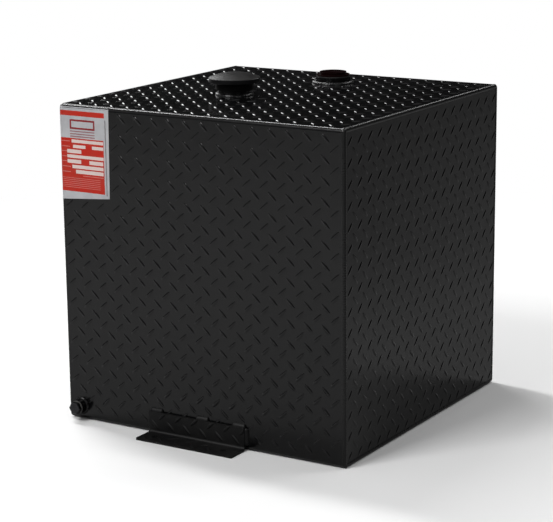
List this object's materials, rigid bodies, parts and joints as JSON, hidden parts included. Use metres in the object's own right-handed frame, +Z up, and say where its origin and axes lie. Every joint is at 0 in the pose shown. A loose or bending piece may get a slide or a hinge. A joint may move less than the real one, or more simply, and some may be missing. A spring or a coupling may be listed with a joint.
{
  "type": "truck bed transfer tank",
  "caption": "Cube-shaped tread plate fuel tank for a truck bed, with a vented screw cap, a plugged pump port, a drain plug and two bolt-down brackets.",
  "frame": {"origin": "on the truck bed, under the middle of the tank", "axes": "+X to the right seen from the front, +Y to the rear, +Z up; the front wall with the label and the drain faces -Y"},
  "size_m": [0.612, 0.7112, 0.6544],
  "materials": {
    "coated_sheet": "satin black powder coat",
    "bare_sheet": "mill finish",
    "cap_plastic": "moulded, satin black",
    "vent_plastic": "moulded, natural white",
    "seal_rubber": "plain",
    "washer_nylon": "plain",
    "spring_steel": "drawn wire",
    "plug_plastic": "moulded, dark red",
    "plated_steel": "zinc plate",
    "label_foil": "printed foil, red on silver"
  },
  "bodies": {
    "tank": {"wrap_sheet": "coated_sheet", "left_end_plate": "coated_sheet", "right_end_plate": "coated_sheet", "left_end_weld": "coated_sheet", "right_end_weld": "coated_sheet", "wrap_seam_weld": "coated_sheet", "baffle_plate": "bare_sheet", "baffle_welds": "bare_sheet", "filler_neck": "coated_sheet", "filler_neck_weld": "coated_sheet", "pump_port_coupling": "coated_sheet", "pump_port_weld": "coated_sheet", "drain_coupling": "coated_sheet", "drain_weld": "coated_sheet", "front_bracket": "coated_sheet", "rear_bracket": "coated_sheet", "front_bracket_welds": "coated_sheet", "rear_bracket_welds": "coated_sheet", "label": "label_foil"},
    "cap_seal": {"filler_cap_gasket": "seal_rubber"},
    "filler_cap": {"filler_cap_cover": "cap_plastic", "filler_cap_insert": "cap_plastic", "vent_cage": "vent_plastic", "vent_spring": "spring_steel"},
    "vent_disc": {"vent_valve": "seal_rubber"},
    "port_seal": {"pump_port_gasket": "seal_rubber"},
    "port_plug": {"pump_port_plug": "plug_plastic"},
    "drain_seal": {"drain_washer": "washer_nylon"},
    "drain_screw": {"drain_plug": "plated_steel"}
  },
  "joints": [
    {"name": "cap_rise", "type": "slide", "parent": "tank", "child": "cap_seal", "axis": [0, 0, 1], "range_m": [0, 0.018]},
    {"name": "cap_turn", "type": "hinge", "parent": "cap_seal", "child": "filler_cap", "pos_m": [-0.0768, -0.0558, 0.6391], "axis": [0, 0, 1], "range_deg": [0, 1080]},
    {"name": "vent_open", "type": "slide", "parent": "filler_cap", "child": "vent_disc", "axis": [0, 0, -1], "range_m": [0, 0.002], "stiffness_N_per_m": 50, "springref_m": -0.002, "deforming": ["vent_spring"]},
    {"name": "port_plug_rise", "type": "slide", "parent": "tank", "child": "port_seal", "axis": [0, 0, 1], "range_m": [0, 0.013]},
    {"name": "port_plug_turn", "type": "hinge", "parent": "port_seal", "child": "port_plug", "pos_m": [0.0082, 0.1732, 0.6241], "axis": [0, 0, 1], "range_deg": [0, 2118]},
    {"name": "drain_plug_rise", "type": "slide", "parent": "tank", "child": "drain_seal", "axis": [0, -1, 0], "range_m": [0, 0.012]},
    {"name": "drain_plug_turn", "type": "hinge", "parent": "drain_seal", "child": "drain_screw", "pos_m": [-0.2778, -0.3188, 0.027], "axis": [0, -1, 0], "range_deg": [0, 2381]}
  ],
  "couplings": [
    {"joint": "cap_rise", "follows": "cap_turn", "m_per_rad": 0.00095493},
    {"joint": "port_plug_rise", "follows": "port_plug_turn", "m_per_rad": 0.00035157},
    {"joint": "drain_plug_rise", "follows": "drain_plug_turn", "m_per_rad": 0.00028871}
  ]
}
